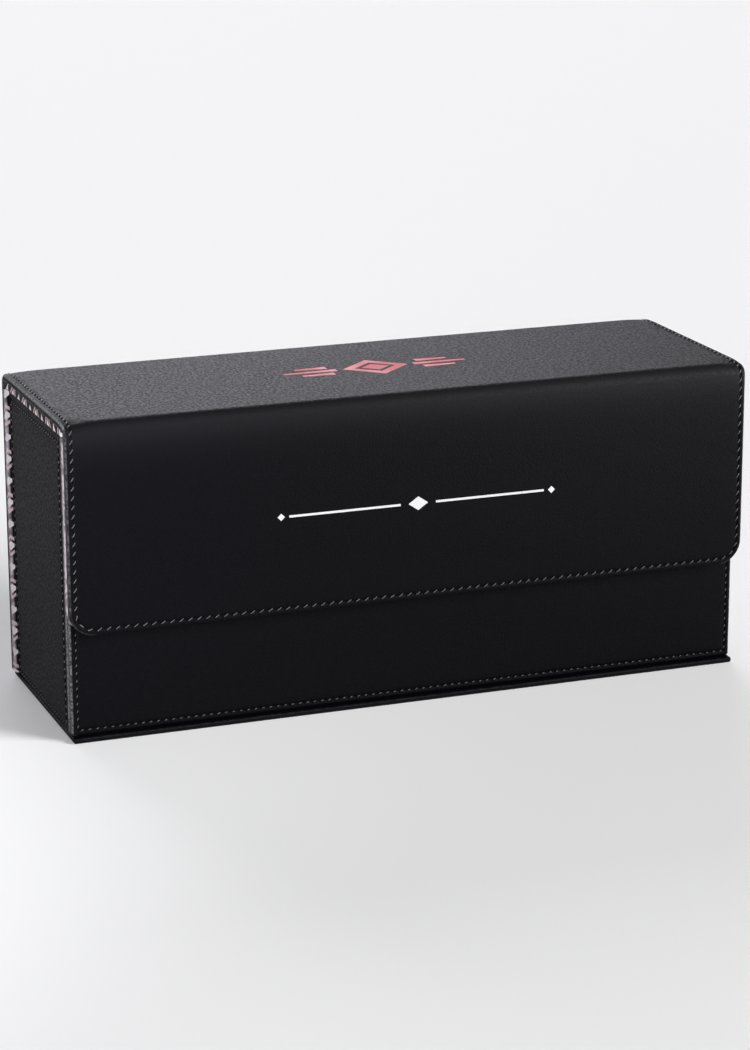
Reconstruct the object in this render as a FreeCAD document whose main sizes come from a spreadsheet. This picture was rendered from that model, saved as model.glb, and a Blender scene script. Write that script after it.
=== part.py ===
# Trading card storage box: stiff panels in a stitched leather-look skin with a printed lining,
# a lid hinged on its own skin at the back, and a front flap that magnets hold shut.
# Millimetres. +X runs along the card row, -Y is the front and +Z is up.
# The origin lies under the middle of the closed box, on the surface that it stands on.

import FreeCAD
import Part
import Sketcher

import math
import os
import re

X, Y, Z = FreeCAD.Vector(1, 0, 0), FreeCAD.Vector(0, 1, 0), FreeCAD.Vector(0, 0, 1)

# Driving sizes
SIZES = {
    "box_length": 345.0,  # along the row, over the cover's edges
    "box_depth": 116.0,  # from the flap's face to the back's face
    "box_height": 155.0,  # from the table to the lid's face
    "cover_thick": 6.8,  # lid, flap and back panel
    "wall_thick": 6.6,  # front wall and end walls
    "base_thick": 2.6,  # base panel under the walls
    "leather_thick": 1.0,  # skin on a panel's face
    "lining_thick": 0.8,  # lining on a panel's face
    "leather_edge": 3.4,  # how far the skin turns over a panel's edge
    "edge_turn": 1.0,  # skin or lining round the board's edge
    "edge_round": 1.4,  # rounding of the skin's turned edge
    "lining_round": 0.6,  # rounding of the lining's turned edge
    "flap_drop": 101.5,  # from the lid's face to the flap's lower edge
    "flap_corner": 12.0,  # radius of the flap's lower corners
    "fold_radius": 5.0,  # outside of the leather folds
    "fold_reach": 6.0,  # from a fold's outer face to the lid's edge
    "lid_gap": 0.4,  # between the lid and what it closes on
    "flap_gap": 0.5,  # between the flap and the front wall
    "front_inset": 1.4,  # front wall inside the cover's edge
    "end_recess": 1.8,  # end walls inside the cover's edge
    "base_inset": 1.4,  # base inside the cover's edge
    "base_lip": 3.5,  # base in front of the front wall
    "stitch_inset": 2.6,  # from an edge to the stitch channel
    "end_stitch_side": 3.7,  # the same on the end walls: from the upright edges,
    "end_stitch_low": 2.0,  # from the lower edge
    "end_stitch_high": 4.7,  # and from the upper edge
    "stitch_width": 1.0,
    "stitch_depth": 0.35,
    "magnet_diameter": 15.0,
    "magnet_thick": 2.0,
    "magnet_spacing": 115.0,  # between neighbouring magnets
    "magnet_rise": 18.0,  # magnets above the flap's lower edge
    "magnet_gap": 0.1,  # all round a magnet in its pocket
    "overrun": 5.0,  # how far a channel's outline runs past an open edge
}

# Lengths and places that follow from the driving sizes
DERIVED = {
    "face_front": "-box_depth / 2",
    "face_back": "box_depth / 2",
    "wall_face": "face_front + cover_thick + flap_gap",
    "wall_inside": "wall_face + wall_thick",
    "back_inside": "face_back - cover_thick",
    "row_depth": "back_inside - wall_inside",
    "row_middle": "(back_inside + wall_inside) / 2",
    "end_face": "box_length / 2 - end_recess",
    "row_length": "2 * (end_face - wall_thick)",
    "closing_height": "box_height - cover_thick - lid_gap",
    "wall_height": "closing_height - base_thick",
    "lid_depth": "box_depth - 2 * fold_reach",
    "flap_low": "box_height - flap_drop",
    "flap_height": "closing_height - flap_low",
    "fold_drop": "cover_thick + lid_gap",
    "base_front": "wall_face - base_lip",
    "base_depth": "face_back - base_front",
    "magnet_height": "flap_low + magnet_rise",
    "pocket_radius": "magnet_diameter / 2 + magnet_gap",
}

doc = FreeCAD.newDocument("card_box")
sheet = doc.addObject("Spreadsheet::Sheet", "Sizes")
for row, (alias, size) in enumerate(SIZES.items(), start=1):
    sheet.set(f"A{row}", alias)
    sheet.set(f"B{row}", str(size))
    sheet.setAlias(f"B{row}", alias)
doc.recompute()


def expand(text):
    """An expression on the sheet's cells, with each derived name written out."""

    def spelled(match):
        word = match.group(0)
        if word in DERIVED:
            return f"({expand(DERIVED[word])})"
        return f"Sizes.{word}"

    return re.sub(r"[a-z_]+", spelled, text)


def number(text):
    """The value of an expression at the sheet's present sizes."""
    return float(sheet.evalExpression(expand(text)))


def bind(item, path, text):
    """Ties a property or a sketch constraint to the sheet."""
    item.setExpression(path, expand(text))


def new_body(label, up, out, foot):
    """An empty body whose own Y points up the panel and whose own Z points to out, standing at foot."""
    body = doc.addObject("PartDesign::Body", label)
    body.Label = label
    body.Placement = FreeCAD.Placement(
        FreeCAD.Vector(), FreeCAD.Rotation(up.cross(out), up, out, "ZYX")
    )
    for axis, place in zip("xyz", foot):
        bind(body, f"Placement.Base.{axis}", place)
    return body


def moved(foot, along, distance):
    """The place at that distance from foot, along one of the frame's axes."""
    return [
        f"{place} + {step:.0f} * ({distance})" if step else place
        for place, step in zip(foot, along)
    ]


def new_sketch(body, level="0"):
    """A sketch across the body's own Z, at that level."""
    sketch = body.newObject("Sketcher::SketchObject", "Sketch")
    plane = next(f for f in body.Origin.OriginFeatures if f.Role == "XY_Plane")
    sketch.AttachmentSupport = [(plane, "")]
    sketch.MapMode = "FlatFace"
    bind(sketch, "AttachmentOffset.Base.z", level)
    return sketch


def fix(sketch, text, *constraint):
    """Adds a dimension that follows the sheet."""
    index = sketch.addConstraint(Sketcher.Constraint(*constraint, number(text)))
    sketch.renameConstraint(index, f"size_{index}")
    bind(sketch, f"Constraints.size_{index}", text)


def fix_level(sketch, text, line):
    """Sets the height of a level line's start above or below the sketch's origin."""
    height = number(text)
    if abs(height) < 1e-9:
        sketch.addConstraint(Sketcher.Constraint("PointOnObject", line, 1, -1))
    elif height > 0:
        fix(sketch, text, "DistanceY", -1, 1, line, 1)
    else:
        fix(sketch, f"-({text})", "DistanceY", line, 1, -1, 1)


def join(sketch, *ends):
    """Makes pairs of line ends meet."""
    for first, second in ends:
        sketch.addConstraint(Sketcher.Constraint("Coincident", *first, *second))


def draw_outline(sketch, width, low, high, radius=None):
    """A panel's outline, symmetric about the upright axis, with round or square lower corners."""
    half, bottom, top = number(width) / 2, number(low), number(high)
    r = number(radius) if radius else 0.0
    ends = [
        ((-half + r, bottom), (half - r, bottom)),
        ((half, bottom + r), (half, top)),
        ((half, top), (-half, top)),
        ((-half, top), (-half, bottom + r)),
    ]
    floor, right, ceiling, left = [
        sketch.addGeometry(Part.LineSegment(FreeCAD.Vector(*a), FreeCAD.Vector(*b))) for a, b in ends
    ]
    sketch.addConstraint(Sketcher.Constraint("Horizontal", floor))
    for upright in (right, left):
        sketch.addConstraint(Sketcher.Constraint("Vertical", upright))
    join(sketch, ((right, 2), (ceiling, 1)), ((ceiling, 2), (left, 1)))
    if radius:
        corners = []
        for side, start in ((1, 1.5 * math.pi), (-1, math.pi)):
            circle = Part.Circle(FreeCAD.Vector(side * (half - r), bottom + r), Z, r)
            corners.append(sketch.addGeometry(Part.ArcOfCircle(circle, start, start + math.pi / 2)))
        right_corner, left_corner = corners
        for first, second in (
            ((floor, 2), (right_corner, 1)),
            ((right_corner, 2), (right, 1)),
            ((left, 2), (left_corner, 1)),
            ((left_corner, 2), (floor, 1)),
        ):
            sketch.addConstraint(Sketcher.Constraint("Tangent", *first, *second))
        sketch.addConstraint(Sketcher.Constraint("Equal", right_corner, left_corner))
        fix(sketch, radius, "Radius", right_corner)
    else:
        join(sketch, ((floor, 2), (right, 1)), ((left, 2), (floor, 1)))
    sketch.addConstraint(Sketcher.Constraint("Symmetric", ceiling, 1, ceiling, 2, -2))
    fix(sketch, width, "DistanceX", ceiling, 2, ceiling, 1)
    fix_level(sketch, low, floor)
    fix_level(sketch, high, ceiling)


def draw_fold(sketch, outer, inner):
    """The corner of a fold: both arms from outer to inner below the faces, round about one centre."""
    a, b, r = number(outer), number(inner), number("fold_radius")
    reach, drop = number("fold_reach"), number("fold_drop")
    paths = [
        ((reach, a), (r, a)),
        ((a, r), (a, drop)),
        ((a, drop), (b, drop)),
        ((b, drop), (b, r)),
        ((r, b), (reach, b)),
        ((reach, b), (reach, a)),
    ]
    lid_face, side_face, side_end, side_inside, lid_inside, lid_end = [
        sketch.addGeometry(Part.LineSegment(FreeCAD.Vector(*p), FreeCAD.Vector(*q))) for p, q in paths
    ]
    outer_bend, inner_bend = [
        sketch.addGeometry(
            Part.ArcOfCircle(Part.Circle(FreeCAD.Vector(r, r), Z, r - level), math.pi, 1.5 * math.pi)
        )
        for level in (a, b)
    ]
    for level in (lid_face, side_end, lid_inside):
        sketch.addConstraint(Sketcher.Constraint("Horizontal", level))
    for upright in (side_face, side_inside, lid_end):
        sketch.addConstraint(Sketcher.Constraint("Vertical", upright))
    for first, second in (
        ((lid_face, 2), (outer_bend, 2)),
        ((outer_bend, 1), (side_face, 1)),
        ((side_inside, 2), (inner_bend, 1)),
        ((inner_bend, 2), (lid_inside, 1)),
    ):
        sketch.addConstraint(Sketcher.Constraint("Tangent", *first, *second))
    join(
        sketch,
        ((side_face, 2), (side_end, 1)),
        ((side_end, 2), (side_inside, 1)),
        ((lid_inside, 2), (lid_end, 1)),
        ((lid_end, 2), (lid_face, 1)),
    )
    fix(sketch, f"fold_radius - ({outer})", "Radius", outer_bend)
    fix(sketch, f"fold_radius - ({inner})", "Radius", inner_bend)
    fix_level(sketch, outer, lid_face)
    fix_level(sketch, inner, lid_inside)
    fix_level(sketch, "fold_drop", side_end)
    fix(sketch, "fold_reach", "DistanceX", -1, 1, lid_end, 1)
    fix(sketch, inner, "DistanceX", -1, 1, side_inside, 1)
    if a > 0:
        fix(sketch, outer, "DistanceX", -1, 1, side_face, 1)
    else:
        sketch.addConstraint(Sketcher.Constraint("PointOnObject", side_face, 1, -2))


def draw_magnet_holes(sketch, height):
    """Three equal holes in a row, at that height on the panel."""
    holes = []
    for place in (-1, 0, 1):
        centre = FreeCAD.Vector(place * number("magnet_spacing"), number(height))
        holes.append(sketch.addGeometry(Part.Circle(centre, Z, number("pocket_radius"))))
    left, middle, right = holes
    sketch.addConstraint(Sketcher.Constraint("PointOnObject", middle, 3, -2))
    fix(sketch, "magnet_spacing", "DistanceX", left, 3, middle, 3)
    fix(sketch, "magnet_spacing", "DistanceX", middle, 3, right, 3)
    for hole in holes:
        fix(sketch, height, "DistanceY", -1, 1, hole, 3)
        fix(sketch, "pocket_radius", "Radius", hole)


def extrude(body, kind, sketch, length, backwards=False):
    """Pads or pockets a sketch and returns the feature."""
    feature = body.newObject(f"PartDesign::{kind}", kind)
    feature.Profile = sketch
    feature.Reversed = backwards
    bind(feature, "Length", length)
    doc.recompute()
    return feature


def round_edges(body, feature, radius, chosen):
    """Rounds the edges of a feature whose middle passes the test."""
    names = []
    for index, edge in enumerate(feature.Shape.Edges, start=1):
        middle = edge.valueAt((edge.FirstParameter + edge.LastParameter) / 2)
        if chosen(middle, edge):
            names.append(f"Edge{index}")
    fillet = body.newObject("PartDesign::Fillet", "Fillet")
    fillet.Base = (feature, names)
    bind(fillet, "Radius", radius)
    doc.recompute()
    return fillet


class Panel:
    """One padded panel: a board between a skin that turns over its edges and a lining that meets it."""

    def __init__(self, name, width, height, thick, up, out, foot, **options):
        self.name, self.width, self.height, self.thick = name, width, height, thick
        self.up, self.out, self.foot = up, out, foot
        self.skin_edge = options.get("skin_edge", "leather_edge")
        self.radius = options.get("radius")
        self.open_low = options.get("open_low", False)
        self.open_high = options.get("open_high", False)
        self.low_rim = options.get("low_rim", "edge_turn")
        self.stitch_side = options.get("stitch_side", "stitch_inset")
        self.stitch_low = options.get("stitch_low", "stitch_inset")
        self.stitch_high = options.get("stitch_high", "stitch_inset")
        self.seam = moved(foot, out * -1, self.skin_edge)

    def inset_outline(self, sketch, inset, low, high):
        """The panel's outline drawn in from its sides, between two heights."""
        radius = f"{self.radius} - ({inset})" if self.radius else None
        draw_outline(sketch, f"{self.width} - 2 * ({inset})", low, high, radius)

    def on_open_side(self, point):
        """True on an edge where the skin runs on into a fold."""
        at_low = self.open_low and abs(point.y) < 1e-6
        at_high = self.open_high and abs(point.y - number(self.height)) < 1e-6
        return at_low or at_high

    def is_corner(self, point, edge):
        """True on a square corner of the outline that two turned sides share."""
        upright = abs(edge.tangentAt(edge.FirstParameter).z) > 0.99
        return upright and not self.on_open_side(point) and edge.Curve.TypeId == "Part::GeomLine"

    def make_block(self, label, out, height):
        """The panel's outline, extruded from the seam, in a new body."""
        body = new_body(label, self.up, out, self.seam)
        sketch = new_sketch(body)
        draw_outline(sketch, self.width, "0", self.height, self.radius)
        return body, extrude(body, "Pad", sketch, height)

    def make_leather(self, stitched=True):
        """Skin: a shallow tray turned over the board, open where it runs into a fold."""
        body, block = self.make_block(f"{self.name}_leather", self.out, self.skin_edge)
        face = number(self.skin_edge)
        round_edges(
            body,
            block,
            "edge_round",
            lambda p, e: (abs(p.z - face) < 1e-6 and not self.on_open_side(p))
            or (not self.radius and self.is_corner(p, e)),
        )
        hollow = new_sketch(body)
        low = "0" if self.open_low else self.low_rim
        high = self.height if self.open_high else f"{self.height} - edge_turn"
        self.inset_outline(hollow, "edge_turn", low, high)
        extrude(body, "Pocket", hollow, f"{self.skin_edge} - leather_thick", backwards=True)
        if stitched:
            channel = new_sketch(body, self.skin_edge)
            for further, past in (("0", "2 * overrun"), ("stitch_width", "overrun")):
                low = f"-({past})" if self.open_low else f"{self.stitch_low} + {further}"
                above = past if self.open_high else f"-({self.stitch_high} + {further})"
                high = f"{self.height} + {above}"
                self.inset_outline(channel, f"{self.stitch_side} + {further}", low, high)
            extrude(body, "Pocket", channel, "stitch_depth")
        return body

    def make_lining(self):
        """Lining: a tray that meets the skin at the seam and climbs the board's edge beside a fold."""
        rim = f"{self.thick} - {self.skin_edge}"
        body, block = self.make_block(f"{self.name}_lining", self.out * -1, rim)
        face = number(rim)
        corners = block
        if not self.radius and not (self.open_low and self.open_high):
            corners = round_edges(body, block, "edge_round", self.is_corner)
        round_edges(
            body,
            corners,
            "lining_round",
            lambda p, e: abs(p.z - face) < 1e-6 and not self.on_open_side(p),
        )
        hollow = new_sketch(body)
        self.inset_outline(hollow, "edge_turn", "edge_turn", f"{self.height} - edge_turn")
        extrude(body, "Pocket", hollow, f"{rim} - lining_thick", backwards=True)
        sides = []
        if self.open_low:
            sides.append(("0", "edge_turn"))
        if self.open_high:
            sides.append((f"{self.height} - edge_turn", self.height))
        for low, high in sides:
            climb = new_sketch(body, f"-({self.skin_edge} - leather_thick)")
            draw_outline(climb, f"{self.width} - 2 * edge_turn", low, high)
            extrude(body, "Pad", climb, f"{self.thick} - leather_thick - lining_thick / 2")
        return body

    def make_board(self, hole_height=None, holes_outside=False):
        """Board: fills the skin and the lining, with pockets for the magnets where it has them."""
        thick = f"{self.thick} - leather_thick - lining_thick"
        foot = moved(self.foot, self.out * -1, f"{self.thick} - lining_thick")
        body = new_body(f"{self.name}_board", self.up, self.out, foot)
        sketch = new_sketch(body)
        self.inset_outline(sketch, "edge_turn", "edge_turn", f"{self.height} - edge_turn")
        extrude(body, "Pad", sketch, thick)
        if hole_height:
            holes = new_sketch(body, thick if holes_outside else "0")
            draw_magnet_holes(holes, hole_height)
            extrude(body, "Pocket", holes, "magnet_thick", backwards=not holes_outside)
        return body


def make_base(panel):
    """Base: a thin board in a skin that wraps its whole edge and fills the lip at the front."""
    skin = panel.make_leather(stitched=False)
    foot = moved(panel.foot, panel.out * -1, "leather_thick")
    board = new_body("base_board", panel.up, panel.out * -1, foot)
    sketch = new_sketch(board)
    panel.inset_outline(sketch, "edge_turn", panel.low_rim, f"{panel.height} - edge_turn")
    extrude(board, "Pad", sketch, f"{panel.thick} - leather_thick")
    return [skin, board]


def make_floor_lining():
    """Sheet of lining on the base, between the walls."""
    body = new_body("floor_lining", Y, Z, ["0", "wall_inside", "base_thick"])
    sketch = new_sketch(body)
    draw_outline(sketch, "row_length", "0", "row_depth")
    extrude(body, "Pad", sketch, "lining_thick")
    return body


def make_fold(name, inward, start):
    """Skin and lining of a fold along the box, with the skin turned over its two ends."""
    down = Z * -1
    bodies = []
    leather = new_body(f"{name}_leather", down, inward.cross(down), start)
    block = new_sketch(leather)
    draw_fold(block, "0", "leather_edge")
    extrude(leather, "Pad", block, "box_length")
    hollow = new_sketch(leather, "edge_turn")
    draw_fold(hollow, "leather_thick", "leather_edge")
    extrude(leather, "Pocket", hollow, "box_length - 2 * edge_turn", backwards=True)
    bodies.append(leather)
    lining = new_body(f"{name}_lining", down, inward.cross(down), start)
    strip = new_sketch(lining, "edge_turn")
    draw_fold(strip, "leather_thick", "leather_thick + lining_thick")
    extrude(lining, "Pad", strip, "box_length - 2 * edge_turn")
    bodies.append(lining)
    return bodies


def make_discs(label, depth):
    """Three flat discs in a row, their axes front to back, with their front faces at that depth."""
    discs = []
    for place in (-1, 0, 1):
        disc = doc.addObject("Part::Cylinder", "Disc")
        disc.Placement = FreeCAD.Placement(FreeCAD.Vector(), FreeCAD.Rotation(Z, Y))
        bind(disc, "Radius", "magnet_diameter / 2")
        bind(disc, "Height", "magnet_thick")
        bind(disc, "Placement.Base.x", f"{place} * magnet_spacing")
        bind(disc, "Placement.Base.y", depth)
        bind(disc, "Placement.Base.z", "magnet_height")
        discs.append(disc)
    group = doc.addObject("Part::Compound", label)
    group.Label = label
    group.Links = discs
    return group


def end_wall(name, side):
    """An end wall between the front wall and the back; side is 1 at the right and -1 at the left."""
    return Panel(
        name,
        "row_depth",
        "wall_height",
        "wall_thick",
        Z,
        X * side,
        [f"{side} * end_face", "row_middle", "base_thick"],
        stitch_side="end_stitch_side",
        stitch_low="end_stitch_low",
        stitch_high="end_stitch_high",
    )


base = Panel(
    "base",
    "box_length - 2 * base_inset",
    "base_depth",
    "base_thick",
    Y,
    Z * -1,
    ["0", "base_front", "0"],
    skin_edge="base_thick",
    low_rim="base_lip + edge_turn",
)
back = Panel(
    "back",
    "box_length",
    "wall_height",
    "cover_thick",
    Z,
    Y,
    ["0", "face_back", "base_thick"],
    open_high=True,
)
lid = Panel(
    "lid",
    "box_length",
    "lid_depth",
    "cover_thick",
    Y,
    Z,
    ["0", "face_front + fold_reach", "box_height"],
    open_low=True,
    open_high=True,
)
flap = Panel(
    "flap",
    "box_length",
    "flap_height",
    "cover_thick",
    Z,
    Y * -1,
    ["0", "face_front", "flap_low"],
    radius="flap_corner",
    open_high=True,
)
front = Panel(
    "front",
    "box_length - 2 * front_inset",
    "wall_height",
    "wall_thick",
    Z,
    Y * -1,
    ["0", "wall_face", "base_thick"],
)
left_end, right_end = end_wall("left_end", -1), end_wall("right_end", 1)

pieces = make_base(base)
for panel in (back, lid, left_end, right_end):
    pieces += [panel.make_leather(), panel.make_board(), panel.make_lining()]
pieces += [flap.make_leather(), flap.make_board("magnet_rise"), flap.make_lining()]
pieces += [
    front.make_leather(),
    front.make_board("magnet_height - base_thick", holes_outside=True),
    front.make_lining(),
]
pieces.append(make_floor_lining())
pieces += make_fold("lid_fold", Y * -1, ["-box_length / 2", "face_back", "box_height"])
pieces += make_fold("flap_fold", Y, ["box_length / 2", "face_front", "box_height"])
pieces.append(make_discs("flap_magnets", "face_front + cover_thick - lining_thick - magnet_thick"))
pieces.append(make_discs("front_keepers", "wall_face + leather_thick"))
doc.recompute()

failed = [item for item in doc.Objects if {"Invalid", "Error"} & set(item.State)]
for item in failed:
    owner = item.getParentGeoFeatureGroup()
    print(f"{owner.Label if owner else 'document'}: {item.Name} did not build, {item.getStatusString()}")
if failed:
    raise RuntimeError(f"{len(failed)} objects did not build")
os.makedirs("parts", exist_ok=True)
for piece in pieces:
    if piece.Shape.isNull() or not piece.Shape.isValid():
        raise RuntimeError(f"{piece.Label} has no valid shape")
    piece.Shape.exportStep(f"parts/{piece.Label}.step")
    print(f"{piece.Label}: {len(piece.Shape.Solids)} solid, {piece.Shape.Volume / 1000:.2f} cm3")
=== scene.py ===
# Trading card storage box: stitched leather-look skin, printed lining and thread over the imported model.
import math

import bmesh
import bpy
import numpy as np
from mathutils import Matrix, Vector


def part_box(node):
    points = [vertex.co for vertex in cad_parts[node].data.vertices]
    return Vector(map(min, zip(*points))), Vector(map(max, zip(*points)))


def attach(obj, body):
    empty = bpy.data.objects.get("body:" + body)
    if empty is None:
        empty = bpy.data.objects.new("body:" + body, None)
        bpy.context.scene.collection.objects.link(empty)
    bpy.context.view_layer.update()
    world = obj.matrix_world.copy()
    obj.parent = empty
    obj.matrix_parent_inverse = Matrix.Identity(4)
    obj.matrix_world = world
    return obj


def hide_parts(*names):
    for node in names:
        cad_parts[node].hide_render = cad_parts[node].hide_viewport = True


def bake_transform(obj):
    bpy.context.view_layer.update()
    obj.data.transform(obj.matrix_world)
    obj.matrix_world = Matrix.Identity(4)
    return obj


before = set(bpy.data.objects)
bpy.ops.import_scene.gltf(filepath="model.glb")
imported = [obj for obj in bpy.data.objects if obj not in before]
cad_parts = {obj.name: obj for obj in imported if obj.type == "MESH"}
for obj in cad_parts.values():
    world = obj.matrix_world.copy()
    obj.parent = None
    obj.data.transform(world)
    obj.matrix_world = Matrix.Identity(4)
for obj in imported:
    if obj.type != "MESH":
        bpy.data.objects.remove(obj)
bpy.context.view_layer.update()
print("frame loaded,", len(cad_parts), "nodes")

# All surfaces are worked out in millimetres and put into the meshes in metres.
metres = 0.001
mergeWithin = 2e-6
sliverWithin = 1e-6


def nodeBox(name):
    low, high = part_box(name)
    return np.array(low) / metres, np.array(high) / metres


lidLow, lidHigh = nodeBox("lid_leather")
flapLow = nodeBox("flap_leather")[0]
backLow, backHigh = nodeBox("back_leather")
wallLow, wallHigh = nodeBox("front_leather")
endLow, endHigh = nodeBox("left_end_leather")
baseLow, baseHigh = nodeBox("base_leather")
boxLength = lidHigh[0] - lidLow[0]
topFace = lidHigh[2]
frontFace = flapLow[1]
backFace = backHigh[1]
closingHeight = wallHigh[2]
endMiddle = (endLow[1] + endHigh[1]) / 2


# Mesh helpers

def newPiece(name, points, faces, uv=None, tones=None, material=None, smooth=True):
    # points in millimetres; doubled points along seams and at poles are merged
    mesh = bpy.data.meshes.new(name)
    mesh.from_pydata((points * metres).tolist(), [], faces.tolist())
    if uv is not None:
        layer = mesh.uv_layers.new(name="flat")
        layer.data.foreach_set("uv", uv[faces].astype(np.float32).ravel())
    if tones is not None:
        for label, values in zip(("rubAndGlint", "stretchAndSheen"), tones.astype(np.float32).T):
            layer = mesh.attributes.new(label, "FLOAT", "POINT")
            layer.data.foreach_set("value", np.ascontiguousarray(values))
    work = bmesh.new()
    work.from_mesh(mesh)
    bmesh.ops.remove_doubles(work, verts=work.verts, dist=mergeWithin)
    bmesh.ops.dissolve_degenerate(work, edges=work.edges, dist=sliverWithin)
    work.to_mesh(mesh)
    work.free()
    mesh.polygons.foreach_set("use_smooth", np.full(len(mesh.polygons), smooth))
    # open edges are sharp, so that the cut rim doesn't shade the face beside it
    used = np.zeros(len(mesh.loops), np.int32)
    mesh.loops.foreach_get("edge_index", used)
    rim = np.bincount(used, minlength=len(mesh.edges)) == 1
    mesh.attributes.new("sharp_edge", "BOOLEAN", "EDGE").data.foreach_set("value", rim)
    mesh.update()
    piece = bpy.data.objects.new(name, mesh)
    bpy.context.scene.collection.objects.link(piece)
    if material:
        mesh.materials.append(material)
    return piece


def thicken(piece, depth):
    # the sheet's own thickness, inwards from the outer face
    wall = piece.modifiers.new("thickness", "SOLIDIFY")
    wall.thickness = depth * metres
    wall.offset = -1
    wall.use_even_offset = False
    return piece


def gridFaces(rows, columns):
    # quads of a grid of points, row by row
    corner = np.arange(rows - 1)[:, None] * columns + np.arange(columns - 1)[None, :]
    return np.stack([corner, corner + 1, corner + columns + 1, corner + columns], -1).reshape(-1, 4)


def asSurface(points, uv, tones=None, faces=None):
    # a grid of points with its flat map and its tones (paler edges from rubbing with a painted highlight,
    # paler fold from stretching with a painted sheen), as lists
    if tones is None:
        tones = np.zeros(uv.shape)
    if faces is None:
        faces = gridFaces(*points.shape[:2])
    return points.reshape(-1, 3), faces, uv.reshape(-1, 2), tones.reshape(-1, 2)


def joinSurfaces(parts):
    # several (points, faces, uv, tones) surfaces as one
    sizes = np.cumsum([0] + [len(p[0]) for p in parts])
    faces = np.concatenate([p[1] + start for p, start in zip(parts, sizes)])
    points, uv, tones = [np.concatenate([p[column] for p in parts]) for column in (0, 2, 3)]
    return points, faces, uv, tones


# Outline of a panel and the routes that it is laid on

# insets from the outline: end of the quarter round, stitch row, where the face has settled, anywhere beyond;
# clear is a place on the seam map that is far from every stitch
seam = {
    "round": 1.4,
    "stitch": 3.0,
    "settled": 9.0,
    "far": 900.0,
    "clear": 40.0,
    "puckerReach": 1.1,
    "leastBendSteps": 5,
}
evenSeats = (seam["stitch"],) * 3


def insetOn(inset, seat):
    # moves the stitch row to its seat on this side of the panel, and all that lies further in with it
    marks = [0, seam["round"], seam["stitch"], seam["settled"], seam["far"]]
    moved = marks[:2] + [seat + (mark - seam["stitch"]) for mark in marks[2:]]
    return np.interp(inset, marks, moved)


def traceOutline(plan, inset):
    # the rounded outline drawn in by each inset: left side down, foot, right side up and, if closed, the head
    inset = np.atleast_1d(np.asarray(inset, float))[:, None]
    side, low, high = [insetOn(inset, seat) for seat in plan["seats"]]
    half, length = plan["width"] / 2, plan["length"]
    lowRound = np.maximum(plan["lowRound"] - inset, 0)
    highRound = np.maximum(plan["highRound"] - inset, 0) if plan["closed"] else 0 * inset
    top = length - high - highRound if plan["closed"] else length + 0 * inset
    edge = half - side
    foot = low + lowRound
    crown = length - high

    def straight(a0, s0, a1, s1, count):
        t = np.linspace(0, 1, count + 1)[None, :]
        return a0 + (a1 - a0) * t, s0 + (s1 - s0) * t

    def bend(a, s, radius, start):
        turn = start + np.linspace(0, np.pi / 2, plan["bendSteps"] + 1)[None, :]
        return a + radius * np.cos(turn), s + radius * np.sin(turn)

    up, across = plan["upSteps"], plan["acrossSteps"]
    runs = [
        straight(-edge, top, -edge, foot, up),
        bend(-edge + lowRound, foot, lowRound, np.pi),
        straight(-edge + lowRound, low, edge - lowRound, low, across),
        bend(edge - lowRound, foot, lowRound, 1.5 * np.pi),
        straight(edge, foot, edge, top, up),
    ]
    if plan["closed"]:
        runs += [
            bend(edge - highRound, top, highRound, 0),
            straight(edge - highRound, crown, -edge + highRound, crown, across),
            bend(-edge + highRound, top, highRound, 0.5 * np.pi),
        ]
    return runs


def planPanel(width, length, lowRound, pitch, highRound=None, seats=evenSeats, perStitch=3):
    # counts stitches on each side, so that points fall on the needle holes
    plan = {
        "width": width,
        "length": length,
        "lowRound": lowRound,
        "highRound": highRound or 0,
        "closed": highRound is not None,
        "seats": seats,
    }
    side, low, high = seats
    lowBend = max(lowRound - seam["stitch"], 0)
    upward = length - low - lowBend - (high if plan["closed"] else 0)
    plan["upStitches"] = round(upward / pitch)
    plan["acrossStitches"] = round((width - 2 * side - 2 * lowBend) / pitch)
    plan["bendStitches"] = round(lowBend * np.pi / 2 / pitch)
    plan["upSteps"] = plan["upStitches"] * perStitch
    plan["acrossSteps"] = plan["acrossStitches"] * perStitch
    plan["bendSteps"] = max(plan["bendStitches"] * perStitch, seam["leastBendSteps"])
    return plan


def stitchCounts(plan, runs):
    # stitches on each run of the outline, in its order; the corners of the head have none
    up, bend, across = plan["upStitches"], plan["bendStitches"], plan["acrossStitches"]
    return [up, bend, across, bend, up, 0, across, 0][: len(runs)]


def flatRoute(origin, across, up):
    # a plane: origin + across a + up s + out h
    origin, across, up = [np.array(v, float) for v in (origin, across, up)]
    out = np.cross(across, up)

    def lay(a, s, h):
        return origin + a[..., None] * across + s[..., None] * up + h[..., None] * out

    return lay


def foldRoute(side, foot, radius, pinch):
    # up the face on that side (-1 front, 1 back), round the fold and along the lid
    # the stitches draw the fold in near its ends, by depth exp(-(to end / reach)^2 - (to fold / spread)^2)
    climb = topFace - radius - foot
    turnLength = radius * np.pi / 2
    face = abs(frontFace if side < 0 else backFace)
    depth = pinch["frontDepth"] if side < 0 else pinch["backDepth"]

    def lay(a, s, h):
        toEnd = (boxLength / 2 - np.abs(a) - pinch["from"]) / pinch["reach"]
        toFold = (s - climb - turnLength * pinch["along"]) / pinch["spread"]
        h = h - depth * np.exp(-(toEnd**2) - toFold**2)
        turn = np.clip((s - climb) / radius, 0, np.pi / 2)
        below = np.maximum(climb - s, 0)
        past = np.maximum(s - climb - turnLength, 0)
        outward = face - radius + (radius + h) * np.cos(turn) - past
        height = topFace - radius + (radius + h) * np.sin(turn) - below
        return np.stack([-side * a, side * outward, height], -1)

    return lay, climb + turnLength
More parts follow.
